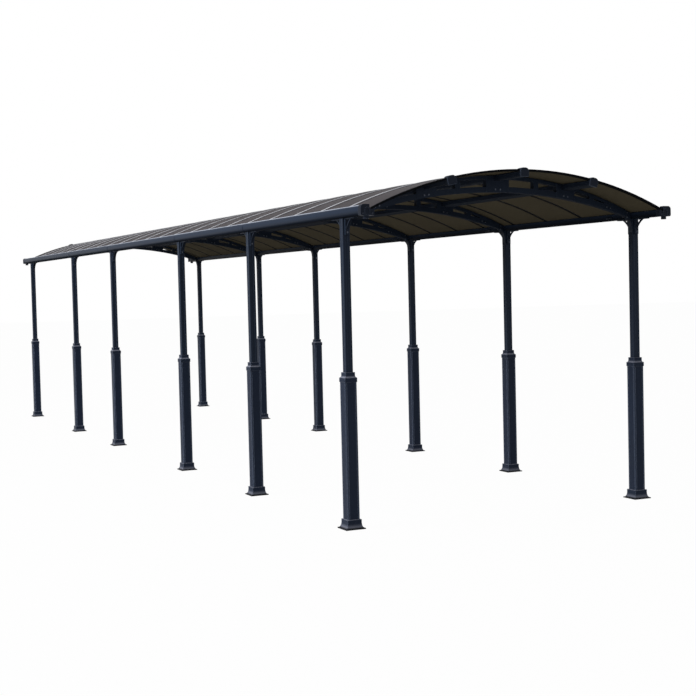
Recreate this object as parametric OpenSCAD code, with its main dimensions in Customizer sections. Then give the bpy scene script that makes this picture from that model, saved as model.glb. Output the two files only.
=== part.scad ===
// Long free-standing carport with an arched sheet roof.
// Twelve posts on moulded pedestals stand in two rows. Six arched trusses span between them,
// three purlins and two gutters run along the roof, and arched ribs hold the roof sheets.
// X runs across the carport, Y along it, Z up. The origin is on the ground at the plan's centre.

/* [Plan] */
// Distance between the two rows of posts, centre to centre
row_w = 2700; // [2200:50:3400]
// Length of a short bay, post centre to post centre
bay_short = 2025; // [1500:25:2600]
// Length of a long bay
bay_long = 2700; // [2100:25:3400]
// Roof that reaches past the first and last trusses
overhang = 420; // [300:10:700]
// Number of roof sheets along the roof
sheet_count = 22; // [12:1:30]

/* [Heights] */
// Height of the gutter's underside above the ground
head_z = 2380; // [2000:20:3000]
// Rise of the roof's underside from the gutter's underside to the ridge
roof_rise = 348; // [280:4:440]
// Rise of the truss's lower chord from the post to the ridge
truss_rise = 210; // [150:5:230]

/* [Posts] */
// Side of the square upper post
post_w = 60; // [50:1:80]
// Corner radius of the upper post
post_r = 5; // [2:0.5:10]
// Width of the shallow groove down each face of the post
post_groove_w = 22; // [10:1:30]
// Depth of that groove
post_groove_d = 1.5; // [0.5:0.5:3]

/* [Pedestals] */
// Side of the pedestal's shaft
shaft_w = 98; // [84:1:130]
// Height of the whole pedestal
pedestal_h = 1205; // [800:5:1500]
// Side of the foot on the ground
foot_w = 165; // [140:1:220]
// Thickness of the foot plate
foot_plate_t = 8; // [5:1:15]
// Height of the sloping skirt above the foot plate
skirt_h = 44; // [25:1:80]
// Side of the band that closes the skirt
foot_band_w = 118; // [104:1:134]
// Height of that band
foot_band_h = 22; // [10:1:40]
// Side of the wide band of the top collar
collar_w = 104; // [100:1:130]
// Height of the wide band of the top collar
collar_h = 34; // [20:1:60]
// Height of the sloping shoulder above it
shoulder_h = 18; // [10:1:30]
// Side of the ring round the upper post
ring_w = 80; // [72:1:90]
// Height of that ring
ring_h = 23; // [10:1:40]
// Radius of the bead down each corner of the shaft
bead_r = 5; // [3:0.5:8]
// Width of the quirk beside each bead
quirk_w = 3; // [1:0.5:5]

/* [Gutters] */
// Overall width of a gutter
gutter_w = 105; // [90:1:140]
// Height of its rolled outer face
gutter_h = 78; // [66:1:110]
// Distance from the post's centre line to the gutter's outer face
gutter_out = 60; // [50:1:80]
// Wall of the gutter
gutter_t = 3; // [2:0.5:5]
// Radius of the rolled corners of the outer face
gutter_r = 24; // [15:1:30]
// Thickness of an end cap along the gutter
cap_t = 48; // [46:1:80]
// How far an end cap stands proud of the gutter's section
cap_lip = 3; // [2:0.5:10]
// Outer diameter of the outlet spigot under each end cap
spigot_d = 42; // [30:1:46]
// Length of the spigot below the end cap
spigot_h = 26; // [15:1:60]
// Wall of the spigot
spigot_t = 3; // [2:0.5:5]
// Width of the raised arch on the outer face of each end cap
cap_arch_w = 48; // [40:1:70]
// Height of that arch
cap_arch_h = 62; // [40:1:66]
// How far the arch stands out of the end cap
cap_relief = 4; // [2:0.5:8]
// Width of the rim round the arch
cap_rim = 7; // [4:0.5:12]
// Length of the sleeve that covers a gutter joint
sleeve_l = 70; // [40:5:120]
// Distance of the sleeve's middle behind the post
sleeve_from_post = 60; // [0:5:300]
// Thickness of that sleeve
sleeve_t = 2; // [1:0.5:4]

/* [Roof] */
// Thickness of a roof sheet
sheet_t = 6; // [4:1:16]
// Distance that the sheets end short of the post's centre line
sheet_short = 15; // [5:1:25]
// Width of a rib's upper cap
rib_cap_w = 36; // [24:1:60]
// Width of a rib's lower flange
rib_flange_w = 30; // [20:1:50]
// Thickness of a rib's cap and flange
rib_t = 5; // [3:0.5:8]
// Thickness of a rib's web between two sheets
rib_web_t = 8; // [4:1:12]
// Width of the edge profile at each end of the roof
edge_w = 30; // [20:1:50]
// Thickness of the edge profile's outer wall
edge_t = 4; // [2:0.5:8]

/* [Purlins] */
// Width of a purlin
purlin_w = 64; // [50:1:90]
// Depth of a purlin
purlin_d = 42; // [30:1:46]
// Radius of a purlin's lower corners
purlin_r = 8; // [4:1:12]
// Distance of a side purlin from the ridge, along X
purlin_x = 650; // [500:10:800]
// Width of a purlin's end cap
purlin_cap_w = 80; // [76:1:110]
// Thickness of the plate of that cap
purlin_cap_t = 14; // [8:1:25]
// Length of the hood that reaches back over the roof's edge
hood_l = 46; // [36:1:80]
// Height of the hood above the edge profile
hood_h = 12; // [6:1:25]
// Depth that the cap reaches below the purlin's top
purlin_cap_drop = 45; // [40:1:60]
// Radius of the cap's upper corners
purlin_cap_r = 30; // [15:1:36]
// Radius of its lower corners
purlin_cap_low_r = 12; // [5:1:20]
// Width of the softened rim round the cap's face
purlin_cap_rim = 8; // [2:0.5:8]

/* [Trusses] */
// Thickness of a truss's chords along Y
truss_t = 50; // [40:1:60]
// Depth of the upper chord
upper_chord = 26; // [18:1:32]
// Depth of the lower chord
lower_chord = 44; // [30:1:52]
// Thickness of the plates on the front and back of a truss
plate_t = 4; // [2:0.5:8]
// Half width of the plate at the ridge
ridge_plate = 106; // [70:1:130]
// Half width of the plates at the side purlins
side_plate = 88; // [60:1:100]
// Width of a spacer between the chords
spacer_w = 44; // [25:1:70]
// Place of the inner spacer between the ridge plate and the side plate, as a share
inner_spacer_share = 0.57; // [0.3:0.01:0.7]
// Place of the outer spacer between the side plate and the web at the post, as a share
outer_spacer_share = 0.58; // [0.3:0.01:0.7]
// Reach of the solid web from the post's inner face
web_reach = 280; // [200:5:340]
// Height of the gusset below the gutter
gusset_h = 112; // [60:1:160]
// Reach of the gusset from the post
gusset_reach = 38; // [20:1:90]

/* [Knee brackets] */
// Height of a knee bracket on the post
knee_h = 120; // [80:1:160]
// Reach of its curved bar along the gutter
knee_reach = 114; // [70:1:160]
// Length of its leg under the gutter
knee_upper_l = 170; // [165:5:260]
// Radius of its curved bar
knee_r = 190; // [120:5:300]
// Width of its two legs, on the post and under the gutter
knee_w = 34; // [20:1:50]
// Width of its curved bar
knee_bar_w = 16; // [6:0.5:30]
// Thickness of the curved bar and of the leg under the gutter
knee_t = 8; // [4:0.5:10]
// Thickness of the leg on the post
knee_leg_t = 20; // [6:1:30]

/* [Hidden] */

// Clearance between pieces that fit into or under each other
fit_gap = 0.3;
// Overrun of every cutting shape
over = 10;
// Fineness of round shapes
round_fn = 96;
arc_fn = 360;
// Steps of a moulded curve
curve_steps = 8;
// Steps of a softened rim
rim_steps = 4;

bays = [bay_short, bay_short, bay_long, bay_short, bay_long];
function bays_before(n) = n == 0 ? 0 : bays[n - 1] + bays_before(n - 1);
roof_l = bays_before(len(bays)) + 2 * overhang;
post_count = len(bays) + 1;
function post_y(n) = -roof_l / 2 + overhang + bays_before(n);

// The roof's underside is one arc over the whole width, centred on the plane x = 0
sheet_half = row_w / 2 - sheet_short;
gutter_in = gutter_w - gutter_out;
gutter_wall_x = row_w / 2 - gutter_in;
eave_z = head_z + gutter_h / 2 + sheet_t / 2;
ridge_z = head_z + roof_rise;
arc_rise = ridge_z - eave_z;
roof_r = (sheet_half * sheet_half + arc_rise * arc_rise) / (2 * arc_rise);
roof_cz = ridge_z - roof_r;
function roof_z(x, r) = roof_cz + sqrt(r * r - x * x);
function slope(x) = asin(x / roof_r);
rib_under = roof_r - rib_t;
rib_over = roof_r + sheet_t + rib_t;
pitch = roof_l / sheet_count;

// The lower chord of a truss is an arc between the inner faces of the posts
chord_half = row_w / 2 - post_w / 2;
chord_r = (chord_half * chord_half + truss_rise * truss_rise) / (2 * truss_rise);
chord_cz = head_z + truss_rise - chord_r;
plate_from = purlin_x - side_plate;
plate_to = purlin_x + side_plate;
web_from = chord_half - web_reach;
inner_spacer = ridge_plate + inner_spacer_share * (plate_from - ridge_plate);
outer_spacer = plate_to + outer_spacer_share * (web_from - plate_to);

frame_colour = "#2b3040";
pedestal_colour = "#33384a";
gutter_colour = "#3a4054";
sheet_colour = [0.29, 0.27, 0.25, 0.85];

// Slab of a 2-D shape drawn in X and Z, spread evenly about y
module across(y, thick) {
    translate([0, y + thick / 2, 0]) rotate([90, 0, 0]) linear_extrude(thick) children();
}

// Sector of a ring about the roof's centre line, between two half widths on the underside
module roof_arc(r_in, r_out, half) {
    reach = r_out + over;
    edge = atan(half / (roof_r * cos(slope(half))));
    translate([0, roof_cz]) intersection() {
        difference() {
            circle(r_out, $fn = arc_fn);
            circle(r_in, $fn = arc_fn);
        }
        polygon([[0, 0], [-reach * tan(edge), reach], [reach * tan(edge), reach]]);
    }
}

// Rounded rectangle from a corner, with one radius
module rounded(w, h, r) {
    translate([r, 0]) square([w - 2 * r, h]);
    translate([0, r]) square([w, h - 2 * r]);
    for (x = [r, w - r], y = [r, h - r]) translate([x, y]) circle(r, $fn = round_fn);
}

// Square post with rounded corners and a shallow groove down each face
module post() {
    translate([0, 0, foot_plate_t]) linear_extrude(head_z - foot_plate_t) difference() {
        translate([-post_w / 2, -post_w / 2]) rounded(post_w, post_w, post_r);
        for (a = [0, 90, 180, 270]) rotate(a)
            translate([post_w / 2 - post_groove_d, -post_groove_w / 2])
                square([post_groove_d + over, post_groove_w]);
    }
}

// Half silhouette of a pedestal: points from the ground up, on the +X side
shaft_from = foot_plate_t + skirt_h + foot_band_h;
shaft_to = pedestal_h - ring_h - shoulder_h - collar_h;
function cove(x1, z1, x2, z2) = [for (i = [0 : curve_steps])
    let (a = 90 * i / curve_steps) [x2 + (x1 - x2) * (1 - sin(a)), z1 + (z2 - z1) * (1 - cos(a))]];
function pedestal_side() = concat(
    [[foot_w / 2, 0], [foot_w / 2, foot_plate_t]],
    cove(foot_w / 2 - foot_plate_t / 2, foot_plate_t, foot_band_w / 2, foot_plate_t + skirt_h),
    [[foot_band_w / 2, shaft_from], [shaft_w / 2, shaft_from], [shaft_w / 2, shaft_to],
     [collar_w / 2, shaft_to], [collar_w / 2, shaft_to + collar_h]],
    cove(collar_w / 2, shaft_to + collar_h, ring_w / 2, pedestal_h - ring_h),
    [[ring_w / 2, pedestal_h]]);

module pedestal_outline() {
    side = pedestal_side();
    polygon(concat(side, [for (i = [len(side) - 1 : -1 : 0]) [-side[i][0], side[i][1]]]));
}

// Pedestal: a moulded square sleeve with mitred mouldings and beaded corners, round the post
module pedestal() {
    notch = 2 * bead_r + quirk_w;
    bore = post_w + 2 * fit_gap;
    difference() {
        intersection() {
            across(0, foot_w) pedestal_outline();
            rotate(90) across(0, foot_w) pedestal_outline();
        }
        translate([-bore / 2, -bore / 2, foot_plate_t]) cube([bore, bore, pedestal_h]);
        for (a = [0, 90, 180, 270]) rotate(a)
            translate([shaft_w / 2 - notch, shaft_w / 2 - notch, shaft_from])
                linear_extrude(shaft_to - shaft_from) difference() {
                    square(notch + over);
                    square(notch - quirk_w);
                    translate([notch - bead_r, notch - bead_r]) circle(bead_r, $fn = round_fn);
                    square([notch - bead_r, notch - quirk_w]);
                }
    }
}

// Truss window between the chords, from x1 to x2
module truss_window(x1, x2) {
    intersection() {
        translate([x1, head_z]) square([x2 - x1, roof_rise]);
        translate([0, chord_cz]) difference() {
            circle(chord_r + upper_chord + roof_rise, $fn = arc_fn);
            circle(chord_r + lower_chord, $fn = arc_fn);
        }
        translate([0, roof_cz]) circle(rib_under - fit_gap - upper_chord, $fn = arc_fn);
    }
}

// Section of a purlin at x, its top against the ribs
module purlin_section(x, grow) {
    translate([0, roof_cz]) rotate(-slope(x)) translate([0, rib_under - fit_gap]) {
        translate([-purlin_w / 2 - grow, -purlin_d + purlin_r])
            square([purlin_w + 2 * grow, purlin_d - purlin_r + grow]);
        translate([-purlin_w / 2 + purlin_r, -purlin_d - grow])
            square([purlin_w - 2 * purlin_r, purlin_d]);
        for (side = [-1, 1])
            translate([side * (purlin_w / 2 - purlin_r), -purlin_d + purlin_r])
                circle(purlin_r + grow, $fn = round_fn);
    }
}

// Curved gusset between the truss and one post, below the gutter
module gusset() {
    wall = gutter_wall_x - fit_gap;
    polygon(concat(
        [[chord_half, head_z - fit_gap], [chord_half, head_z - gusset_h]],
        [for (i = [1 : curve_steps]) let (a = 90 * i / curve_steps)
            [chord_half - gusset_reach * (1 - cos(a)), head_z - gusset_h * (1 - sin(a))]],
        [[chord_half - gusset_reach, head_z + lower_chord],
         [wall, head_z + lower_chord / 2], [wall, head_z - fit_gap]]));
}

// Body of a truss between the lower arc and the ribs, short of the gutters
module truss_face() {
    difference() {
        intersection() {
            translate([0, chord_cz]) difference() {
                circle(chord_r + roof_rise, $fn = arc_fn);
                circle(chord_r, $fn = arc_fn);
            }
            translate([0, roof_cz]) circle(rib_under - fit_gap, $fn = arc_fn);
            translate([fit_gap - gutter_wall_x, head_z])
                square([2 * (gutter_wall_x - fit_gap), roof_rise]);
        }
        for (x = [-purlin_x, 0, purlin_x]) purlin_section(x, fit_gap);
    }
}

// Region of the plates at the ridge and at the side purlins
module plate_zones() {
    for (p = [[0, ridge_plate], [purlin_x, side_plate], [-purlin_x, side_plate]])
        translate([p[0] - p[1], head_z]) square([2 * p[1], roof_rise]);
}

module truss_windows() {
    windows = [[ridge_plate, inner_spacer - spacer_w / 2],
               [inner_spacer + spacer_w / 2, plate_from],
               [plate_to, outer_spacer - spacer_w / 2],
               [outer_spacer + spacer_w / 2, web_from]];
    for (side = [0, 1]) mirror([side, 0]) for (w = windows) truss_window(w[0], w[1]);
}

module truss(n) {
    across(post_y(n), truss_t) {
        difference() {
            truss_face();
            truss_windows();
        }
        for (side = [0, 1]) mirror([side, 0]) gusset();
    }
    across(post_y(n), truss_t + 2 * plate_t) intersection() {
        truss_face();
        plate_zones();
    }
}

// Section of a gutter: x runs outwards from the post's centre line, z from its underside
inner_wall_h = roof_z(gutter_wall_x, rib_under) - head_z - fit_gap;
module gutter_shell(inset) {
    r = gutter_r - inset;
    left = -gutter_in + inset;
    translate([left, inset])
        square([gutter_out - gutter_r - left, gutter_h - 2 * inset]);
    translate([left, gutter_r])
        square([gutter_out - inset - left, gutter_h - 2 * gutter_r]);
    for (z = [gutter_r, gutter_h - gutter_r])
        translate([gutter_out - gutter_r, z]) circle(r, $fn = round_fn);
}

module gutter_section() {
    mouth = gutter_out - gutter_r;
    difference() {
        gutter_shell(0);
        gutter_shell(gutter_t);
        translate([-gutter_in + gutter_t, gutter_h / 2])
            square([mouth + gutter_in - gutter_t, gutter_h]);
        translate([-gutter_in - over, inner_wall_h])
            square([gutter_t + 2 * over, gutter_h]);
    }
    translate([mouth, gutter_h - gutter_t]) circle(gutter_t, $fn = round_fn);
}

// Places something drawn for the right row, on the right (1) or the left (-1)
module row(side) {
    mirror([side < 0 ? 1 : 0, 0, 0]) translate([row_w / 2, 0, 0]) children();
}

module gutter(side) {
    inner_l = roof_l - 2 * cap_t;
    row(side) translate([0, 0, head_z]) {
        across(0, inner_l) gutter_section();
        for (n = [1 : post_count - 2]) across(post_y(n) + sleeve_from_post, sleeve_l) intersection() {
            difference() {
                gutter_shell(-sleeve_t);
                gutter_shell(0);
            }
            translate([0, sleeve_t]) square([gutter_out + over, gutter_h - gutter_r]);
        }
    }
}

// Round-topped shape that stands on the end cap's lower edge, drawn about its middle
module cap_arch(inset) {
    r = cap_arch_w / 2;
    translate([gutter_out / 2 - gutter_in / 2, 0]) {
        translate([inset - r, inset - cap_lip])
            square([2 * (r - inset), cap_arch_h - r + cap_lip - inset]);
        translate([0, cap_arch_h - r]) circle(r - inset, $fn = round_fn);
    }
}

// End cap with a rounded outer side, a raised arch on its outer face and an outlet spigot
module cap_outline() {
    w = gutter_w + 2 * cap_lip;
    h = gutter_h + 2 * cap_lip;
    r = gutter_r + cap_lip;
    low_r = r / 2;
    translate([-gutter_in - cap_lip, -cap_lip]) {
        square([w - r, h]);
        translate([0, low_r]) square([w, h - low_r - r]);
        square([w - low_r, h - r]);
        translate([w - r, h - r]) circle(r, $fn = round_fn);
        translate([w - low_r, low_r]) circle(low_r, $fn = round_fn);
    }
}

module gutter_cap() {
    seat = sheet_half * rib_over / roof_r - row_w / 2 + fit_gap;
    translate([0, 0, head_z]) {
        across(0, cap_t) difference() {
            cap_outline();
            intersection() {
                translate([-gutter_w - over, 0]) square([gutter_w + over + seat, gutter_h + over]);
                translate([-row_w / 2, roof_cz - head_z]) difference() {
                    circle(roof_r + roof_rise, $fn = arc_fn);
                    circle(rib_under - fit_gap, $fn = arc_fn);
                }
            }
        }
        across(-(cap_t + cap_relief) / 2, cap_relief) difference() {
            cap_arch(0);
            cap_arch(cap_rim);
        }
        translate([gutter_out / 2 - gutter_in / 2, 0, -spigot_h]) difference() {
            cylinder(h = spigot_h + cap_lip, d = spigot_d, $fn = round_fn);
            translate([0, 0, -over])
                cylinder(h = spigot_h + over, d = spigot_d - 2 * spigot_t, $fn = round_fn);
        }
    }
}

module gutter_caps(side) {
    row(side) for (end = [0, 1]) mirror([0, end, 0]) translate([0, (cap_t - roof_l) / 2, 0]) gutter_cap();
}

// Legs of a knee bracket in Y and Z, on the +Y face of a post and under the gutter
module knee_legs() {
    translate([0, -knee_h - knee_t]) square([knee_leg_t, knee_h + knee_t]);
    translate([0, -knee_t]) square([knee_upper_l, knee_t]);
}

// Curved bar between the ends of the two legs
module knee_bar() {
    chord = norm([knee_reach, knee_h]);
    dist = sqrt(knee_r * knee_r - chord * chord / 4);
    centre = [knee_reach / 2 + dist * knee_h / chord, -knee_h / 2 - dist * knee_reach / chord];
    intersection() {
        translate([0, -knee_h]) square([knee_reach, knee_h]);
        translate(centre) difference() {
            circle(knee_r + knee_t / 2, $fn = arc_fn);
            circle(knee_r - knee_t / 2, $fn = arc_fn);
        }
    }
}

module knee_brackets(side) {
    row(side) for (n = [0 : post_count - 1], way = [0, 1])
        translate([0, post_y(n), head_z]) mirror([0, way, 0]) translate([0, post_w / 2, 0]) {
            translate([-knee_w / 2, 0, 0]) rotate([90, 0, 90]) linear_extrude(knee_w) knee_legs();
            translate([-knee_bar_w / 2, 0, 0]) rotate([90, 0, 90]) linear_extrude(knee_bar_w) knee_bar();
        }
}

module purlin(x) {
    across(0, roof_l) purlin_section(x, 0);
}

// Outline of a purlin's end cap, with well rounded upper corners, drawn inset by a rim
module purlin_cap_outline(x, inset) {
    top = rib_over + hood_h - inset;
    low = rib_under - purlin_cap_drop + inset;
    half = purlin_cap_w / 2 - inset;
    high_r = purlin_cap_r - inset;
    low_r = purlin_cap_low_r - inset;
    translate([0, roof_cz]) rotate(-slope(x)) {
        translate([-half, low + low_r]) square([2 * half, top - high_r - low - low_r]);
        translate([low_r - half, low]) square([2 * (half - low_r), top - high_r - low]);
        translate([high_r - half, top - 2 * high_r]) square([2 * (half - high_r), 2 * high_r]);
        for (side = [-1, 1]) {
            translate([side * (half - high_r), top - high_r]) circle(high_r, $fn = round_fn);
            translate([side * (half - low_r), low + low_r]) circle(low_r, $fn = round_fn);
        }
    }
}

// End cap of a purlin: a plate against the roof's end with a hood over its edge
module purlin_cap(x) {
    face = purlin_cap_t - purlin_cap_rim;
    for (i = [1 : rim_steps]) {
        from = purlin_cap_rim * (i - 1) / rim_steps;
        depth = face + purlin_cap_rim * i / rim_steps;
        inset = purlin_cap_rim - sqrt(purlin_cap_rim * purlin_cap_rim - from * from);
        across(-roof_l / 2 - depth / 2, depth) purlin_cap_outline(x, inset);
    }
    across(-roof_l / 2 + hood_l / 2, hood_l) difference() {
        purlin_cap_outline(x, 0);
        translate([0, roof_cz]) circle(rib_over + fit_gap, $fn = arc_fn);
    }
}

module purlin_caps() {
    for (x = [-purlin_x, 0, purlin_x], end = [0, 1]) mirror([0, end, 0]) purlin_cap(x);
}

module roof_sheets() {
    first = edge_t + fit_gap;
    for (i = [0 : sheet_count - 1]) {
        from = -roof_l / 2 + i * pitch + (i == 0 ? first : rib_web_t / 2 + fit_gap);
        to = -roof_l / 2 + (i + 1) * pitch - (i == sheet_count - 1 ? first : rib_web_t / 2 + fit_gap);
        across((from + to) / 2, to - from)
            roof_arc(roof_r + fit_gap, roof_r + sheet_t - fit_gap, sheet_half);
    }
}

module roof_rib(y) {
    across(y, rib_flange_w) roof_arc(rib_under, roof_r, sheet_half);
    across(y, rib_web_t) roof_arc(rib_under, rib_over, sheet_half);
    across(y, rib_cap_w) roof_arc(roof_r + sheet_t, rib_over, sheet_half);
}

module roof_ribs() {
    for (i = [1 : sheet_count - 1]) roof_rib(-roof_l / 2 + i * pitch);
}

module edge_profile(end) {
    across(end * (roof_l - edge_w) / 2, edge_w) roof_arc(rib_under, roof_r, sheet_half);
    across(end * (roof_l - edge_w) / 2, edge_w) roof_arc(roof_r + sheet_t, rib_over, sheet_half);
    across(end * (roof_l - edge_t) / 2, edge_t) roof_arc(rib_under, rib_over, sheet_half);
}

module post_at(side, n) {
    color(frame_colour) row(side) translate([0, post_y(n), 0]) post();
}
module pedestal_at(side, n) {
    color(pedestal_colour) row(side) translate([0, post_y(n), 0]) pedestal();
}

post_at(-1, 0);  // post_left_1
post_at(-1, 1);  // post_left_2
post_at(-1, 2);  // post_left_3
post_at(-1, 3);  // post_left_4
post_at(-1, 4);  // post_left_5
post_at(-1, 5);  // post_left_6
post_at(1, 0);  // post_right_1
post_at(1, 1);  // post_right_2
post_at(1, 2);  // post_right_3
post_at(1, 3);  // post_right_4
post_at(1, 4);  // post_right_5
post_at(1, 5);  // post_right_6
pedestal_at(-1, 0);  // pedestal_left_1
pedestal_at(-1, 1);  // pedestal_left_2
pedestal_at(-1, 2);  // pedestal_left_3
pedestal_at(-1, 3);  // pedestal_left_4
pedestal_at(-1, 4);  // pedestal_left_5
pedestal_at(-1, 5);  // pedestal_left_6
pedestal_at(1, 0);  // pedestal_right_1
pedestal_at(1, 1);  // pedestal_right_2
pedestal_at(1, 2);  // pedestal_right_3
pedestal_at(1, 3);  // pedestal_right_4
pedestal_at(1, 4);  // pedestal_right_5
pedestal_at(1, 5);  // pedestal_right_6
color(frame_colour) truss(0);  // truss_1
color(frame_colour) truss(1);  // truss_2
color(frame_colour) truss(2);  // truss_3
color(frame_colour) truss(3);  // truss_4
color(frame_colour) truss(4);  // truss_5
color(frame_colour) truss(5);  // truss_6
color(gutter_colour) gutter(-1);  // gutter_left
color(gutter_colour) gutter(1);  // gutter_right
color(frame_colour) gutter_caps(-1);  // gutter_caps_left
color(frame_colour) gutter_caps(1);  // gutter_caps_right
color(frame_colour) knee_brackets(-1);  // knee_brackets_left
color(frame_colour) knee_brackets(1);  // knee_brackets_right
color(frame_colour) purlin(0);  // ridge_purlin
color(frame_colour) purlin(-purlin_x);  // side_purlin_left
color(frame_colour) purlin(purlin_x);  // side_purlin_right
color(frame_colour) purlin_caps();
color(sheet_colour) roof_sheets();
color(frame_colour) roof_ribs();
color(frame_colour) edge_profile(-1);  // edge_profile_front
color(frame_colour) edge_profile(1);  // edge_profile_back
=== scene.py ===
"""Finishes, fasteners, seals and studio for a long free-standing carport with an arched sheet roof."""
import math

import bmesh
import bpy
from mathutils import Matrix, Vector


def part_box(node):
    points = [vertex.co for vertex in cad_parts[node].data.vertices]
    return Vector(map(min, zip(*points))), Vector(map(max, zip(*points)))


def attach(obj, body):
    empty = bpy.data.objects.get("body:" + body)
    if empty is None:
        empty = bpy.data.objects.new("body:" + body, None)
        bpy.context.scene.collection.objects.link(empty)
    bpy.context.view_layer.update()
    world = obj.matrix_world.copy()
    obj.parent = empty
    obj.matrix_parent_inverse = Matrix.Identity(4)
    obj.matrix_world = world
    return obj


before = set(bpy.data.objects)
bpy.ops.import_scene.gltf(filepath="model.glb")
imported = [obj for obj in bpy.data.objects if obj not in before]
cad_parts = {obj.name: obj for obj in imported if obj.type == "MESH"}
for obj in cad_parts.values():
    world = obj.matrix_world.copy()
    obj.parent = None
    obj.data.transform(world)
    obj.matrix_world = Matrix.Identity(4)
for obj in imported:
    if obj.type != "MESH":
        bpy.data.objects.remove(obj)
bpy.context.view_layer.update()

# Sizes of the carport's own profiles, in metres
RIB_DEPTH = 0.016          # a rib's flange, the sheet's thickness and the rib's cap together
RIB_CAP_W = 0.036
RIB_FLANGE_W = 0.030
CAP_T = 0.005              # a rib's cap, and its flange
SHEET_T = 0.006
SHEETS = 22
TRUSS_RISE = 0.210         # rise of a truss's lower arc from the post to the ridge
LOWER_CHORD = 0.044
CHORD_FACE = 0.025         # from a truss's middle plane to the face of its chords
PLATE_FACE = 0.029         # and to the face of its plates
PURLIN_X = 0.650
KNEE_T = 0.008             # a knee bracket's leg under the gutter
KNEE_LEG_T = 0.020         # and its leg on the post

# Places and sizes of the fasteners and trims, in metres
RIDGE_PAIR = 0.023         # from the ridge to each bolt of the ridge plate
SIDE_PAIR = 0.019          # from a side purlin to each bolt of its plate
WEB_X = 1.080              # the middle of the pair of bolts in the web beside the post
WEB_PAIR = 0.018           # and from there to each bolt
TRUSS_END = 0.080          # from a post's middle to the bolts of the truss end
TRUSS_END_Z = (0.018, 0.054)           # their heights over the post head
KNEE_FOOT_DROP = 0.108     # from the post head down to the bolt in a knee bracket's foot
KNEE_REACH = (0.044, 0.084)            # from the post's face to the screws into the gutter
KNEE_OUT = 0.011           # and from the row's middle
JOINT_AFTER_POST = 0.27    # from a post to the gutter joint behind it
JOINT_LIFT = 0.020         # the splice plate's middle over the gutter's underside
JOINT_L, JOINT_H, JOINT_T = 0.090, 0.030, 0.003
JOINT_CORNER = 0.006
JOINT_SCREWS = (-0.032, -0.011, 0.011, 0.032)      # along the gutter, from the plate's middle
LIP_BESIDE = 0.0012        # from a rib's edge to the middle of the rubber lip beside it
LIP_SHORT = 0.004          # the lips' end before the eave, in radians
UPPER_LIP = (0.0030, 0.0020)           # width and height
LOWER_LIP = (0.0034, 0.0030)
UPPER_LIP_RISE, LOWER_LIP_DROP = 0.0002, 0.0006    # the lips' middles, from the sheet's two skins
RIB_SCREW_BACK = (0.014, 0.030)        # from the eave up the rib to its screws
TRIM_T, TRIM_REACH = 0.0012, 0.018     # a sheet end trim's wall, and how far it goes up the sheet
TRIM_BACK = 0.010          # from the eave to the trim's middle
TRIM_SLACK = 0.004         # what a trim is shorter than the gap between two ribs' caps
TRIM_HOLLOW = 0.004        # depth of the trim's mouth
CAP_SCREW_ACROSS = (-0.040, 0.038)     # from an end cap's middle to its screws
CAP_SCREW_Z = 0.012        # their height over the post head
ARC_STEPS = 40             # pieces that a lip's arc is made of

# Degrees from the hexagon of one bolt to that of the next: nobody lines them up
PLATE_TURN, HEAD_TURN, KNEE_TURN = 17, 23, 11

# Patterns of the finishes, in features per metre
GRAIN = 1 / 0.003          # grains of the powder, 3 mm: coarser than real, so that they show close up
PEEL = 1 / 0.012           # soft waves of the orange peel
ROLL_LINES = 1 / 0.004     # lines that the rollers leave along a strip
PITS = 1 / 0.0025          # spark-eroded pits, drawn 2.5 mm across so that they show close up
COAT_DRIFT = 2.2
# mottle of the painted highlight on the rib caps
HIGHLIGHT_MOTTLE = 9.0
NYLON_DRIFT = 14.0
SHEET_DRIFT = 1.1
ZINC_CLOUDS = 220.0
WAX_BLOOM = 45.0
FLUTES = 1 / 0.020         # the real webs stand about 6 mm apart: 20 mm is the least that shows
BANDS_AT_SCALE_1 = 3.1831  # bands per metre in a wave texture of scale 1
ROLL_STRETCH = 0.012       # how much slower a roll line changes along the strip than across it

# Specular levels, far below real ones: the studio is white all round, and at glancing angles it
# would lie on the dark finishes as a grey veil that the photograph doesn't show
GLOSS_COAT, GLOSS_EDGE, GLOSS_RIB, GLOSS_GUTTER = 0.07, 0.02, 0.04, 0.02
GLOSS_NYLON, GLOSS_SHEET = 0.06, 0.002
IOR_COAT, IOR_RUBBER, IOR_NYLON, IOR_POLYCARBONATE = 1.5, 1.5, 1.53, 1.58
DULL, CHALKY = 1.0, 0.95   # roughness of sheltered undersides
RUBBER_ROUGHNESS = 0.72
SHEET_CLARITY = 0.12       # share of the light that goes through a sheet's skin

NOISE_LOW, NOISE_HIGH = 0.3, 0.7   # most of a noise lies between these
SKIN_SHIFT = 0.001         # half the depth over which a rib's cap turns into its flange
FOOT_DARK_LOW, FOOT_DARK_HIGH = 0.010, 0.022   # heights between which the darkening at the feet fades
GUTTER_SHADE_HEIGHT = 0.050     # height over the gutter's underside up to which it is painted darker, as painted shade

posts = {side: [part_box(f"post_{side}_{n}") for n in range(1, 7)] for side in ("left", "right")}
post_low, post_high = posts["right"][0]
ROW_X = (post_low.x + post_high.x) / 2
POST_HALF = (post_high.x - post_low.x) / 2
HEAD_Z = post_high.z
post_ys = [(low.y + high.y) / 2 for low, high in posts["left"]]
chord_half = ROW_X - POST_HALF
chord_r = (chord_half ** 2 + TRUSS_RISE ** 2) / (2 * TRUSS_RISE)
chord_cz = HEAD_Z + TRUSS_RISE - chord_r
gutter_wall_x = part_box("gutter_right")[0].x


def roof_arc():
    """Radius, centre height and half angle of the top of the rib caps, from the box of the ribs."""
    low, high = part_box("roof_ribs")
    drop = high.z - low.z
    for _ in range(5):  # each round comes nearer, and the fifth changes nothing that shows
        radius = (high.x ** 2 + drop ** 2) / (2 * drop)
        drop = high.z - low.z - RIB_DEPTH * math.sqrt(1 - (high.x / radius) ** 2)
    return radius, high.z - radius, math.asin(high.x / radius)


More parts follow.
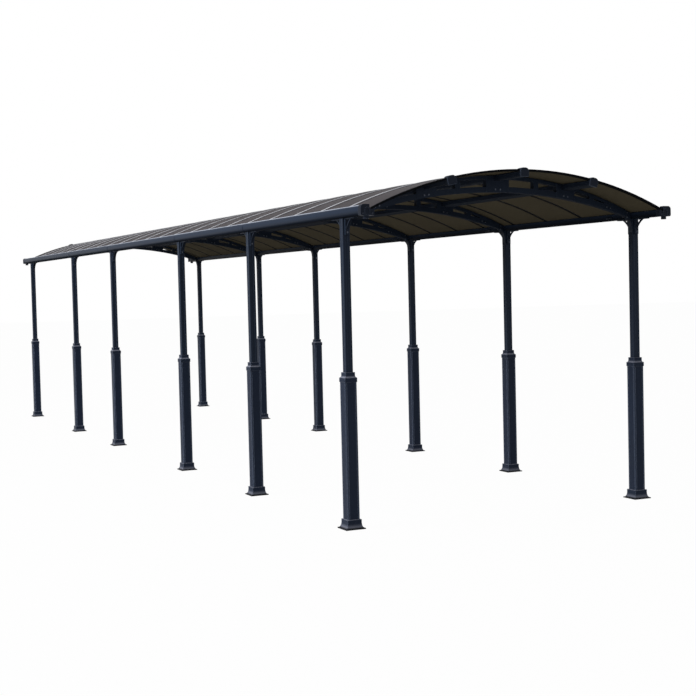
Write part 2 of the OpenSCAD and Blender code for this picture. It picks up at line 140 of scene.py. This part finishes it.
rib_top_r, roof_cz, roof_half_angle = roof_arc()
roof_from, roof_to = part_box("edge_profile_front")[0].y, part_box("edge_profile_back")[1].y
rib_pitch = (roof_to - roof_from) / SHEETS
rib_ys = [roof_from + rib_pitch * n for n in range(1, SHEETS)]


def over_chord(x):
    """Height of the middle of a truss's lower chord at x."""
    return chord_cz + math.sqrt((chord_r + LOWER_CHORD / 2) ** 2 - x ** 2)


# Finishes

def linear(hex_colour):
    """sRGB hex to the linear colour that a shader takes."""
    channels = [int(hex_colour[i:i + 2], 16) / 255 for i in (1, 3, 5)]
    return [c / 12.92 if c <= 0.04045 else ((c + 0.055) / 1.055) ** 2.4 for c in channels] + [1]


def shaded(hex_colour, factor):
    """The linear colour of a hex, made darker or lighter by a factor."""
    return [factor * c for c in linear(hex_colour)[:3]] + [1]


def add(tree, kind, inputs=None, **settings):
    """Adds a shader node. An input takes a value, or a link from another node's socket."""
    made = tree.nodes.new("ShaderNode" + kind)
    for name, value in settings.items():
        setattr(made, name, value)
    for name, value in (inputs or {}).items():
        if isinstance(value, bpy.types.NodeSocket):
            tree.links.new(value, made.inputs[name])
        else:
            made.inputs[name].default_value = value
    return made


def new_material(name):
    """An empty node material, its tree and its Object coordinates."""
    material = bpy.data.materials.new(name)
    material.use_nodes = True
    tree = material.node_tree
    tree.nodes.clear()
    place = add(tree, "TexCoord").outputs["Object"]
    return material, tree, place


def close(material, tree, shader):
    """Gives a material its surface."""
    add(tree, "OutputMaterial", {"Surface": shader.outputs[0]})
    return material


def ramp(tree, value, start, end, low=0.0, high=1.0, **settings):
    """Goes from low to high as the value goes from start to end, and stays level outside them."""
    made = add(tree, "MapRange", {"Value": value, "From Min": start, "From Max": end,
                                  "To Min": low, "To Max": high}, **settings)
    return made.outputs["Result"]


def spread(tree, noise, low, high):
    """Stretches the middle of a noise, where most of it lies, from low to high."""
    return ramp(tree, noise, NOISE_LOW, NOISE_HIGH, low, high)


def mix(tree, share, first, second):
    """Goes from the first colour to the second as the share goes from 0 to 1."""
    return add(tree, "MixRGB", {"Fac": share, "Color1": first, "Color2": second}).outputs["Color"]


def clouds(tree, place, per_metre, detail, roughness=0.5):
    """Soft noise about 0.5."""
    return add(tree, "TexNoise", {"Vector": place, "Scale": per_metre, "Detail": detail,
                                  "Roughness": roughness}).outputs["Fac"]


def scaled(tree, colour, factor):
    """A colour times a value."""
    return add(tree, "VectorMath", {0: colour, "Scale": factor}, operation="SCALE").outputs["Vector"]


def math_of(tree, operation, first, second):
    """Two values through one Math node."""
    return add(tree, "Math", {0: first, 1: second}, operation=operation).outputs[0]


def z_of(tree, vector):
    """The Z part of a vector."""
    return add(tree, "SeparateXYZ", {0: vector}).outputs["Z"]


def face_normal(tree):
    """The normal of the face itself."""
    return add(tree, "NewGeometry").outputs["Normal"]


def rounded_normal(tree, radius, samples=4):
    """The normal that the surface would have with its edges rounded to a radius."""
    return add(tree, "Bevel", {"Radius": radius}, samples=samples).outputs["Normal"]


def edge_share(tree, rounded, face, start, end, edge_paleness):
    """Goes from 0 to wear as the rounded normal turns away from the face, along an edge."""
    level = add(tree, "VectorMath", {0: rounded, 1: face}, operation="DOT_PRODUCT").outputs["Value"]
    return ramp(tree, level, start, end, 0.0, edge_paleness)


def relief(tree, height, strength, depth, normal=None):
    """The normal with a bump on it, of a depth in metres."""
    inputs = {"Height": height, "Strength": strength, "Distance": depth}
    if normal:
        inputs["Normal"] = normal
    return add(tree, "Bump", inputs).outputs["Normal"]


def powder_coat(name, colour, edge_colour, up_highlight_colour, roughness, edge=0.0016, edge_paleness=0.40, up_highlight=0.3,
                gloss=GLOSS_COAT):
    """Polyester powder coat baked on aluminium: a satin skin with a fine orange peel, a slight
    drift of its tone, and a paler line over the edges, partly where the film pulls thin and partly
    painted highlight. Whatever faces up is painted paler, as painted highlight; the undersides are
    painted deeper, as painted shade, and are dull; and a band about 15 mm high at the feet is darker."""
    material, tree, place = new_material(name)
    drift = clouds(tree, place, COAT_DRIFT, 4.0, 0.6)
    tone = mix(tree, drift, shaded(colour, 0.82), shaded(colour, 1.18))
    grain = clouds(tree, place, GRAIN, 2.0)
    fleck = ramp(tree, grain, start=0.62, end=0.78, high=0.30)
    flecked = mix(tree, fleck, tone, linear(edge_colour))
    rounded = rounded_normal(tree, edge)
    face = face_normal(tree)
    # The edges are painted paler: partly edge wear, partly painted highlight.
    rim = edge_share(tree, rounded, face, start=0.995, end=0.80, edge_paleness=edge_paleness)
    worn_and_highlit = mix(tree, rim, flecked, linear(edge_colour))
    lie = z_of(tree, rounded)
    # Painted highlight: faces that turn up are painted towards a paler colour.
    painted_up_highlight = ramp(tree, lie, start=0.10, end=0.55, high=up_highlight)
    with_up_highlight = mix(tree, painted_up_highlight, worn_and_highlit, linear(up_highlight_colour))
    # Painted shade: faces that turn down are painted darker, down to 0.4 of their colour.
    painted_shade_ramp = ramp(tree, lie, start=-0.5, end=-0.05, low=0.4)
    # Darker at the feet: 0.08 of the colour below 10 mm, fading out by 22 mm.
    foot_darkening = ramp(tree, z_of(tree, place), FOOT_DARK_LOW, FOOT_DARK_HIGH, low=0.08)
    body = scaled(tree, with_up_highlight, math_of(tree, "MULTIPLY", painted_shade_ramp, foot_darkening))
    skin = relief(tree, clouds(tree, place, PEEL, 1.0), strength=0.10, depth=0.0008, normal=rounded)
    satin = spread(tree, drift, low=roughness - 0.05, high=roughness + 0.06)
    return close(material, tree, add(tree, "BsdfPrincipled", {
        "Base Color": body, "IOR": IOR_COAT, "Specular IOR Level": gloss,
        "Roughness": ramp(tree, z_of(tree, face), start=-0.9, end=-0.3, low=DULL, high=satin),
        "Normal": relief(tree, grain, strength=0.12, depth=0.0003, normal=skin)}))


def clamping_profile_coat(name, cap_highlight_colour, flange_shade_colour):
    """Powder coat on the profiles that clamp the sheets: the caps above the sheets are painted pale, a
    mottled painted highlight, and satin; the flanges below the sheets are painted near black, as
    painted shade, and dull."""
    material, tree, place = new_material(name)
    from_axis = add(tree, "Mapping", {"Vector": place, "Location": (0, 0, -roof_cz),
                                      "Scale": (1, 0, 1)}).outputs["Vector"]
    radius = add(tree, "VectorMath", {0: from_axis}, operation="LENGTH").outputs["Value"]
    sheet_mid = rib_top_r - CAP_T - SHEET_T / 2
    outside = ramp(tree, radius, sheet_mid - SKIN_SHIFT, sheet_mid + SKIN_SHIFT)
    highlight_mottle = spread(tree, clouds(tree, place, HIGHLIGHT_MOTTLE, 4.0, 0.65), low=0.75, high=1.0)
    # Painted highlight: the caps above the sheets are painted pale, mottled.
    cap_highlight = math_of(tree, "MULTIPLY", outside, highlight_mottle)
    rounded = rounded_normal(tree, radius=0.0012)
    grain = clouds(tree, place, GRAIN, 2.0)
    return close(material, tree, add(tree, "BsdfPrincipled", {
        # Painted shade: the flanges below the sheets are painted near black.
        "Base Color": mix(tree, cap_highlight, linear(flange_shade_colour), linear(cap_highlight_colour)),
        "IOR": IOR_COAT, "Specular IOR Level": GLOSS_RIB,
        "Roughness": ramp(tree, outside, start=0.0, end=1.0, low=CHALKY, high=0.36),
        "Normal": relief(tree, grain, strength=0.12, depth=0.0003, normal=rounded)}))


def roll_formed_coat(name, shade_colour, face_colour, highlight_colour):
    """Coil-coated aluminium strip, roll formed along Y: faint drawn lines along its length, painted
    deeper towards its lower edge as painted shade, and painted pale along the roll that faces up as
    painted highlight."""
    material, tree, place = new_material(name)
    along = add(tree, "Mapping", {"Vector": place, "Scale": (1.0, ROLL_STRETCH, 1.0)}).outputs["Vector"]
    lines = clouds(tree, along, ROLL_LINES, 3.0)
    # Painted shade: the strip is painted deeper towards its lower edge.
    painted_shade_ramp = ramp(tree, z_of(tree, place), HEAD_Z, HEAD_Z + GUTTER_SHADE_HEIGHT,
                   interpolation_type="SMOOTHSTEP")
    face = mix(tree, painted_shade_ramp, linear(shade_colour), linear(face_colour))
    lie = z_of(tree, face_normal(tree))
    # Painted highlight: faces that turn up are painted pale.
    painted_highlight = ramp(tree, lie, start=0.60, end=0.90)
    tone = mix(tree, painted_highlight, face, linear(highlight_colour))
    satin = spread(tree, lines, low=0.30, high=0.40)
    rounded = rounded_normal(tree, radius=0.0015)
    return close(material, tree, add(tree, "BsdfPrincipled", {
        "Base Color": scaled(tree, tone, spread(tree, lines, low=0.86, high=1.14)),
        "IOR": IOR_COAT, "Specular IOR Level": GLOSS_GUTTER,
        "Roughness": ramp(tree, lie, start=-0.8, end=-0.1, low=DULL, high=satin),
        "Normal": relief(tree, lines, strength=0.10, depth=0.0004, normal=rounded)}))


def moulded_nylon(name, colour, high_colour, edge_colour):
    """Glass-filled nylon, injection moulded with a fine spark-eroded grain: dull, with a slow drift
    of its tone, and ribs and edges painted pale as painted highlight."""
    material, tree, place = new_material(name)
    pits = add(tree, "TexVoronoi", {"Vector": place, "Scale": PITS}, feature="SMOOTH_F1")
    drift = clouds(tree, place, NYLON_DRIFT, 3.0)
    tone = mix(tree, drift, linear(colour), linear(high_colour))
    rounded = rounded_normal(tree, radius=0.003, samples=6)
    # Painted highlight: the ribs and edges are painted paler.
    rim = edge_share(tree, rounded, face_normal(tree), start=0.998, end=0.85, edge_paleness=0.6)
    return close(material, tree, add(tree, "BsdfPrincipled", {
        "Base Color": mix(tree, rim, tone, linear(edge_colour)),
        "IOR": IOR_NYLON, "Specular IOR Level": GLOSS_NYLON,
        "Roughness": spread(tree, drift, low=0.46, high=0.60),
        "Normal": relief(tree, pits.outputs["Distance"], strength=0.18, depth=0.0004,
                         normal=rounded)}))


def twin_wall_polycarbonate(name, under_glow_colour, top_colour, flute_colour):
    """Smoke-bronze twin-wall polycarbonate, extruded: a greyer, smooth weathering skin on top, a
    duller underside painted lighter and warmer as painted light through the sheet, and the webs between
    its walls as faint lines down the slope."""
    material, tree, place = new_material(name)
    skyward = ramp(tree, z_of(tree, face_normal(tree)), start=-0.2, end=0.2)
    # Painted light: the underside is painted lighter and warmer than the top, for light that comes
    # through the sheet.
    body = mix(tree, skyward, linear(under_glow_colour), linear(top_colour))
    drift = ramp(tree, clouds(tree, place, SHEET_DRIFT, 2.0), start=0.0, end=1.0, low=0.8, high=1.2)
    flutes = add(tree, "TexWave", {"Vector": place, "Scale": FLUTES / BANDS_AT_SCALE_1,
                                   "Distortion": 0.0},
                 bands_direction="Y", wave_profile="SIN").outputs["Fac"]
    line = ramp(tree, flutes, start=0.55, end=0.95, high=0.28)
    return close(material, tree, add(tree, "BsdfPrincipled", {
        "Base Color": mix(tree, line, scaled(tree, body, drift), linear(flute_colour)),
        "IOR": IOR_POLYCARBONATE, "Specular IOR Level": GLOSS_SHEET,
        "Transmission Weight": SHEET_CLARITY,
        "Roughness": ramp(tree, skyward, start=0.0, end=1.0, low=CHALKY, high=0.40),
        "Normal": relief(tree, flutes, strength=0.12, depth=0.0006)}))


def zinc_plate(name, colour, dull_colour):
    """Zinc plate on steel fasteners, greyed by the weather or passivated black: a metal that still
    glints, with cloudy, duller patches."""
    material, tree, place = new_material(name)
    cloudy = clouds(tree, place, ZINC_CLOUDS, 4.0)
    return close(material, tree, add(tree, "BsdfPrincipled", {
        "Base Color": mix(tree, cloudy, linear(colour), linear(dull_colour)), "Metallic": 1.0,
        "Roughness": spread(tree, cloudy, low=0.26, high=0.46)}))


def extruded_rubber(name, colour, bloom_colour):
    """Black EPDM seal, extruded: dull and slightly grey where its wax has bloomed."""
    material, tree, place = new_material(name)
    bloom = clouds(tree, place, WAX_BLOOM, 3.0)
    return close(material, tree, add(tree, "BsdfPrincipled", {
        "Base Color": mix(tree, bloom, linear(colour), linear(bloom_colour)),
        "IOR": IOR_RUBBER, "Roughness": RUBBER_ROUGHNESS,
        "Normal": relief(tree, bloom, strength=0.1, depth=0.0003)}))


# Second colours: paler edges, partly edge wear and partly painted highlight. Third colours: painted
# highlight on faces that turn up.
frame_coat = powder_coat("powder_coat_anthracite", "#1b2330", "#566278", "#3c4454", roughness=0.48,
                         edge=0.003, edge_paleness=0.55)
pedestal_coat = powder_coat("powder_coat_anthracite_cast", "#192130", "#7a859c", "#707380",
                            roughness=0.50, edge=0.006, edge_paleness=0.90, up_highlight=0.95)
edge_coat = powder_coat("powder_coat_black", "#08090c", "#1c1e25", "#1c1e25", roughness=0.60,
                        gloss=GLOSS_EDGE)
# Cap colour: painted highlight. Flange colour: painted shade.
rib_coat = clamping_profile_coat("powder_coat_clamping_profile", "#c6c8d0", "#050506")
# First colour: painted shade at the lower edge. Last colour: painted highlight along the top roll.
gutter_coat = roll_formed_coat("coil_coat_blue_grey", "#0d1118", "#1d2635", "#a9b0bf")
# Last colour: the ribs and edges, painted pale as painted highlight.
cap_nylon = moulded_nylon("moulded_nylon_anthracite", "#12161f", "#1b212c", "#596376")
# First colour: the underside, painted lighter and warmer as painted light through the sheet.
sheet_bronze = twin_wall_polycarbonate("polycarbonate_smoke_bronze", "#494335", "#2e2930", "#584f3d")
zinc = zinc_plate("zinc_plated_steel", "#565b65", "#3c414b")
dark_zinc = zinc_plate("black_zinc_steel", "#3c414d", "#262a33")
rubber = extruded_rubber("epdm_black", "#0e0f12", "#1c1e22")

FINISHES = {"post": frame_coat, "truss": frame_coat, "knee_brackets": frame_coat,
            "ridge_purlin": frame_coat, "side_purlin": frame_coat, "edge_profile": edge_coat,
            "roof_ribs": rib_coat, "pedestal": pedestal_coat, "gutter_caps": cap_nylon,
            "purlin_caps": cap_nylon, "gutter": gutter_coat, "roof_sheets": sheet_bronze}
for name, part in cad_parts.items():
    longest = max((start for start in FINISHES if name.startswith(start)), key=len)
    part.data.materials.clear()
    part.data.materials.append(FINISHES[longest])


# New pieces

def mesh_of(bm, name="pattern"):
    """Turns a bmesh into a mesh."""
    mesh = bpy.data.meshes.new(name)
    bm.to_mesh(mesh)
    bm.free()
    return mesh


def object_of(name, mesh, material):
    """Puts a mesh into the scene, with its material."""
    mesh.materials.append(material)
    made = bpy.data.objects.new(name, mesh)
    bpy.context.scene.collection.objects.link(made)
    return made


def finish_piece(name, bm, material, smooth_deg=35):
    """Turns a bmesh into a piece of the carport, shaded smooth below an angle."""
    bmesh.ops.recalc_face_normals(bm, faces=bm.faces)
    mesh = mesh_of(bm, name)
    piece = object_of(name, mesh, material)
    for face in mesh.polygons:
        face.use_smooth = True
    mesh.set_sharp_from_angle(angle=math.radians(smooth_deg))
    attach(piece, "root")


def put(bm, pattern, place):
    """Adds a copy of a pattern mesh to bm, placed by a matrix."""
    copy = pattern.copy()
    copy.transform(place)
    bm.from_mesh(copy)
    bpy.data.meshes.remove(copy)


def stamp(bm, pattern, point, towards, turn_deg=0):
    """Adds a copy of a pattern mesh to bm, its +Z turned towards a direction."""
    turn = Vector(towards).to_track_quat("Z", "Y").to_matrix().to_4x4()
    put(bm, pattern, Matrix.Translation(point) @ turn @ Matrix.Rotation(math.radians(turn_deg), 4, "Z"))


def cone(bm, segments, low_r, high_r, depth, start):
    """Adds a cone or cylinder to bm, standing on z = start."""
    return bmesh.ops.create_cone(bm, cap_ends=True, segments=segments, radius1=low_r, radius2=high_r,
                                 depth=depth, matrix=Matrix.Translation((0, 0, start + depth / 2)))


def bevel(bm, edges, offset, segments=1):
    """Bevels some edges of bm."""
    bmesh.ops.bevel(bm, geom=edges, offset=offset, affect="EDGES", segments=segments, profile=0.5,
                    material=-1)


def hex_bolt(flats, height, washer, washer_t=0.0016, washer_edge=0.0004, chamfer=0.22):
    """Head of a hexagon bolt on its washer, standing on z = 0: the head's top edge is chamfered by
    a share of its height."""
    bm = bmesh.new()
    cone(bm, 16, washer / 2, washer / 2 - washer_edge, washer_t, 0)
    corner = flats / math.sqrt(3)
    head = cone(bm, 6, corner, corner, height, washer_t)
    top = [e for v in head["verts"] for e in v.link_edges
           if all(w.co.z > washer_t + height * 0.9 for w in e.verts)]
    bevel(bm, list(set(top)), height * chamfer)
    return mesh_of(bm)


def pan_screw(width, height, shoulder=0.5, rim=0.12, taper=0.05, recess=0.4):
    """Head of a pan-head screw, standing on z = 0, with a round drive recess. The shoulder and the
    recess are shares of the height, the rim and the recess's taper are shares of the width."""
    bm = bmesh.new()
    cone(bm, 12, width / 2, width / 2, height, 0)
    bevel(bm, [e for f in bm.faces if f.normal.z > 0.9 for e in f.edges], height * shoulder,
          segments=2)
    top = [f for f in bm.faces if f.normal.z > 0.99 and f.calc_center_median().z > height * 0.9]
    bmesh.ops.inset_region(bm, faces=top, thickness=width * rim, depth=0)
    bmesh.ops.inset_region(bm, faces=top, thickness=width * taper, depth=-height * recess)
    return mesh_of(bm)


BOLT = hex_bolt(flats=0.010, height=0.0042, washer=0.016)
SCREW = pan_screw(width=0.012, height=0.0045)


def truss_bolts():
    """Pairs of bolts through the plates and webs, on both faces of each truss."""
    bm = bmesh.new()
    places = [(side * x, PLATE_FACE) for side in (-1, 1)
              for x in (RIDGE_PAIR, PURLIN_X - SIDE_PAIR, PURLIN_X + SIDE_PAIR)]
    places += [(side * (WEB_X + gap), CHORD_FACE) for side in (-1, 1) for gap in (-WEB_PAIR, WEB_PAIR)]
    for y in post_ys:
        for face in (-1, 1):
            for n, (x, stand) in enumerate(places):
                point = (x, y + face * stand, over_chord(x))
                stamp(bm, BOLT, point, (0, face, 0), PLATE_TURN * n)
    finish_piece("truss_bolts", bm, zinc, smooth_deg=20)


def head_bolts():
    """Bolts round the post heads: two through each truss end, one in the foot of each knee bracket."""
    bm = bmesh.new()
    for side in (-1, 1):
        for n, y in enumerate(post_ys):
            for face in (-1, 1):
                for z in TRUSS_END_Z:
                    point = (side * (ROW_X - TRUSS_END), y + face * CHORD_FACE, HEAD_Z + z)
                    stamp(bm, BOLT, point, (0, face, 0), HEAD_TURN * n)
                foot = (side * ROW_X, y + face * (POST_HALF + KNEE_LEG_T), HEAD_Z - KNEE_FOOT_DROP)
                stamp(bm, BOLT, foot, (0, face, 0), KNEE_TURN * n)
    finish_piece("post_head_bolts", bm, zinc, smooth_deg=20)


def knee_screws():
    """Two screws up into the gutter through each knee bracket's upper leg."""
    bm = bmesh.new()
    for side in (-1, 1):
        for y in post_ys:
            for way in (-1, 1):
                for reach in KNEE_REACH:
                    point = (side * (ROW_X + KNEE_OUT), y + way * (POST_HALF + reach), HEAD_Z - KNEE_T)
                    stamp(bm, SCREW, point, (0, 0, -1))
    finish_piece("knee_bracket_screws", bm, dark_zinc, smooth_deg=30)


def gutter_joint_plates():
    """Splice plate on the inner wall of each gutter joint, with rounded corners and four screws."""
    plates, screws = bmesh.new(), bmesh.new()
    for side in (-1, 1):
        for y in post_ys:
            mid = y + JOINT_AFTER_POST
            made = bmesh.ops.create_cube(plates, size=1)["verts"]
            bmesh.ops.scale(plates, vec=(JOINT_T, JOINT_L, JOINT_H), verts=made)
            centre = (side * (gutter_wall_x - JOINT_T / 2), mid, HEAD_Z + JOINT_LIFT)
            bmesh.ops.translate(plates, vec=centre, verts=made)
            ends = [e for e in set(e for v in made for e in v.link_edges)
                    if abs(e.verts[0].co.x - e.verts[1].co.x) > JOINT_T / 2]
            bevel(plates, ends, JOINT_CORNER, segments=4)
            for along in JOINT_SCREWS:
                point = (side * (gutter_wall_x - JOINT_T), mid + along, HEAD_Z + JOINT_LIFT)
                stamp(screws, SCREW, point, (-side, 0, 0))
    finish_piece("gutter_joint_screws", screws, dark_zinc, smooth_deg=30)
    finish_piece("gutter_joint_plates", plates, gutter_coat)


def arc_bar(radius, width, height, half_angle):
    """Rounded bar swept about the roof's centre line, round the origin: width along Y."""
    bm = bmesh.new()
    start = Matrix.Rotation(-half_angle, 4, "Y") @ Matrix.Translation((0, 0, radius))
    lens = Matrix.Rotation(math.radians(-90), 4, "Y") @ Matrix.Diagonal((height / 2, width / 2, 1, 1))
    bmesh.ops.create_circle(bm, cap_ends=True, segments=8, radius=1, matrix=start @ lens)
    bmesh.ops.spin(bm, geom=bm.verts[:] + bm.edges[:] + bm.faces[:], cent=(0, 0, 0), axis=(0, 1, 0),
                   angle=2 * half_angle, steps=ARC_STEPS, use_duplicate=False)
    return mesh_of(bm)


def roof_seals():
    """Rubber lips beside each rib: two on top of the sheets and two below them."""
    bm = bmesh.new()
    sheet_top_r = rib_top_r - CAP_T
    half = roof_half_angle - LIP_SHORT
    upper = arc_bar(sheet_top_r + UPPER_LIP_RISE, *UPPER_LIP, half)
    lower = arc_bar(sheet_top_r - SHEET_T - LOWER_LIP_DROP, *LOWER_LIP, half)
    for y in rib_ys:
        for side in (-1, 1):
            for lip, beside in ((upper, RIB_CAP_W / 2), (lower, RIB_FLANGE_W / 2)):
                put(bm, lip, Matrix.Translation((0, y + side * (beside + LIP_BESIDE), roof_cz)))
    finish_piece("roof_seals", bm, rubber, smooth_deg=50)


def rib_screws():
    """Two screws near each end of every rib cap, where it is held down to the gutter."""
    bm = bmesh.new()
    for y in rib_ys:
        for side in (-1, 1):
            for back in RIB_SCREW_BACK:
                a = side * (roof_half_angle - back / rib_top_r)
                out = Vector((math.sin(a), 0, math.cos(a)))
                stamp(bm, SCREW, Vector((0, y, roof_cz)) + out * rib_top_r, out)
    finish_piece("rib_screws", bm, dark_zinc, smooth_deg=30)


def end_trim(length):
    """U-shaped trim about the origin, open towards -X, with rounded outer corners."""
    bm = bmesh.new()
    size = Matrix.Diagonal((TRIM_REACH, length, SHEET_T + 2 * TRIM_T, 1))
    bmesh.ops.create_cube(bm, size=1, matrix=size)
    bevel(bm, [e for e in bm.edges if all(v.co.x > 0 for v in e.verts)], TRIM_T, segments=2)
    mouth = [f for f in bm.faces if f.normal.x < -0.9]
    bmesh.ops.inset_region(bm, faces=mouth, thickness=TRIM_T, depth=0)
    bmesh.ops.translate(bm, vec=(TRIM_HOLLOW, 0, 0), verts=list({v for f in mouth for v in f.verts}))
    return mesh_of(bm)


def sheet_end_trims():
    """U-shaped trims that close the open webs of the sheets at both eaves."""
    bm = bmesh.new()
    trim = end_trim(rib_pitch - RIB_CAP_W - TRIM_SLACK)
    a = roof_half_angle - TRIM_BACK / rib_top_r
    lift = Matrix.Translation((0, 0, rib_top_r - CAP_T - SHEET_T / 2))
    for n in range(SHEETS):
        eave = Matrix.Translation((0, roof_from + rib_pitch * (n + 0.5), roof_cz))
        for turn in (0, math.pi):
            put(bm, trim, eave @ Matrix.Rotation(turn, 4, "Z") @ Matrix.Rotation(a, 4, "Y") @ lift)
    finish_piece("sheet_end_trims", bm, rib_coat)


def gutter_cap_screws():
    """Two screws in the outer face of each gutter end cap."""
    bm = bmesh.new()
    low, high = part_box("gutter_caps_right")
    mid = (low.x + high.x) / 2
    for side in (-1, 1):
        for end in (-1, 1):
            for across in CAP_SCREW_ACROSS:
                point = (side * (mid + across), end * roof_to, HEAD_Z + CAP_SCREW_Z)
                stamp(bm, SCREW, point, (0, end, 0))
    finish_piece("gutter_cap_screws", bm, dark_zinc, smooth_deg=30)


truss_bolts()
head_bolts()
knee_screws()
gutter_joint_plates()
roof_seals()
rib_screws()
sheet_end_trims()
gutter_cap_screws()


# Studio

FLOOR_HALF = 90            # half the side of the floor, in metres
FLOOR_WHITE = 0.98         # share of plain white in the floor that the camera sees
SKY_STRENGTH = 0.45        # the world's light on the carport itself


def background_seen(tree):
    """1 for the rays that show the background: from the camera, mirrored, or through a piece."""
    rays = add(tree, "LightPath").outputs
    seen = math_of(tree, "MAXIMUM", rays["Is Camera Ray"], rays["Is Glossy Ray"])
    return math_of(tree, "MAXIMUM", seen, rays["Is Transmission Ray"])


def pale_floor():
    """White studio floor: it takes the shadow, and shows the camera and mirrors a near white."""
    material, tree, _ = new_material("studio_floor")
    share = math_of(tree, "MULTIPLY", background_seen(tree), FLOOR_WHITE)
    matt = add(tree, "BsdfDiffuse", {"Color": linear("#c0c0c0")})
    white = add(tree, "Emission", {"Color": linear("#ffffff"), "Strength": 1.0})
    both = add(tree, "MixShader", {0: share, 1: matt.outputs[0], 2: white.outputs[0]})
    return close(material, tree, both)


def studio_floor():
    """A square floor at z = 0."""
    bm = bmesh.new()
    bmesh.ops.create_grid(bm, x_segments=1, y_segments=1, size=FLOOR_HALF)
    plane = object_of("studio_floor", mesh_of(bm, "studio_floor"), pale_floor())


def studio_world():
    """White wherever the background shows, and a softer light on the carport itself."""
    world = bpy.data.worlds.new("studio")
    bpy.context.scene.world = world
    world.use_nodes = True
    tree = world.node_tree
    tree.nodes.clear()
    strength = ramp(tree, background_seen(tree), start=0.0, end=1.0, low=SKY_STRENGTH)
    glow = add(tree, "Background", {"Color": linear("#ffffff"), "Strength": strength})
    add(tree, "OutputWorld", {"Surface": glow.outputs[0]})


def soft_box(name, place, target, size, power):
    """A large square lamp that faces a point, and that nothing mirrors."""
    lamp = bpy.data.lights.new(name, "AREA")
    lamp.shape = "SQUARE"
    lamp.size = size
    lamp.energy = power
    made = bpy.data.objects.new(name, lamp)
    made.location = place
    made.rotation_euler = (Vector(target) - Vector(place)).to_track_quat("-Z", "Y").to_euler()
    made.visible_glossy = False  # or the far slope of the roof shows a hot spot of the lamp
    bpy.context.scene.collection.objects.link(made)


studio_floor()
studio_world()
soft_box("key_left", place=(-16, -3, 7), target=(0, 0, 1.2), size=8, power=3400)
soft_box("fill_front", place=(4, -18, 6), target=(0, -3, 1.2), size=8, power=250)

# Camera matched to the feet and heads of the twelve posts, in pixels of the 696 px photograph
IMAGE = 696
FOCAL_PX = 1323.3
SENSOR_MM = 36
SIGHT_M = 400
YAW, PITCH, ROLL = 0.4358, -0.0427, -0.0238
CAMERA_AT = Vector((-5.619, -14.915, 1.823))
ahead = Vector((math.sin(YAW) * math.cos(PITCH), math.cos(YAW) * math.cos(PITCH), math.sin(PITCH)))
level_right = Vector((math.cos(YAW), -math.sin(YAW), 0))
level_up = level_right.cross(ahead)
right = math.cos(ROLL) * level_right + math.sin(ROLL) * level_up
up = math.cos(ROLL) * level_up - math.sin(ROLL) * level_right
camera_data = bpy.data.cameras.new("photo_view")
camera = bpy.data.objects.new("photo_view", camera_data)
bpy.context.scene.collection.objects.link(camera)
camera_data.sensor_width = SENSOR_MM
camera_data.lens = FOCAL_PX / IMAGE * SENSOR_MM
camera_data.clip_end = SIGHT_M
camera.matrix_world = Matrix.Translation(CAMERA_AT) @ Matrix((right, up, -ahead)).transposed().to_4x4()
bpy.context.scene.camera = camera
bpy.context.scene.view_settings.view_transform = "Standard"
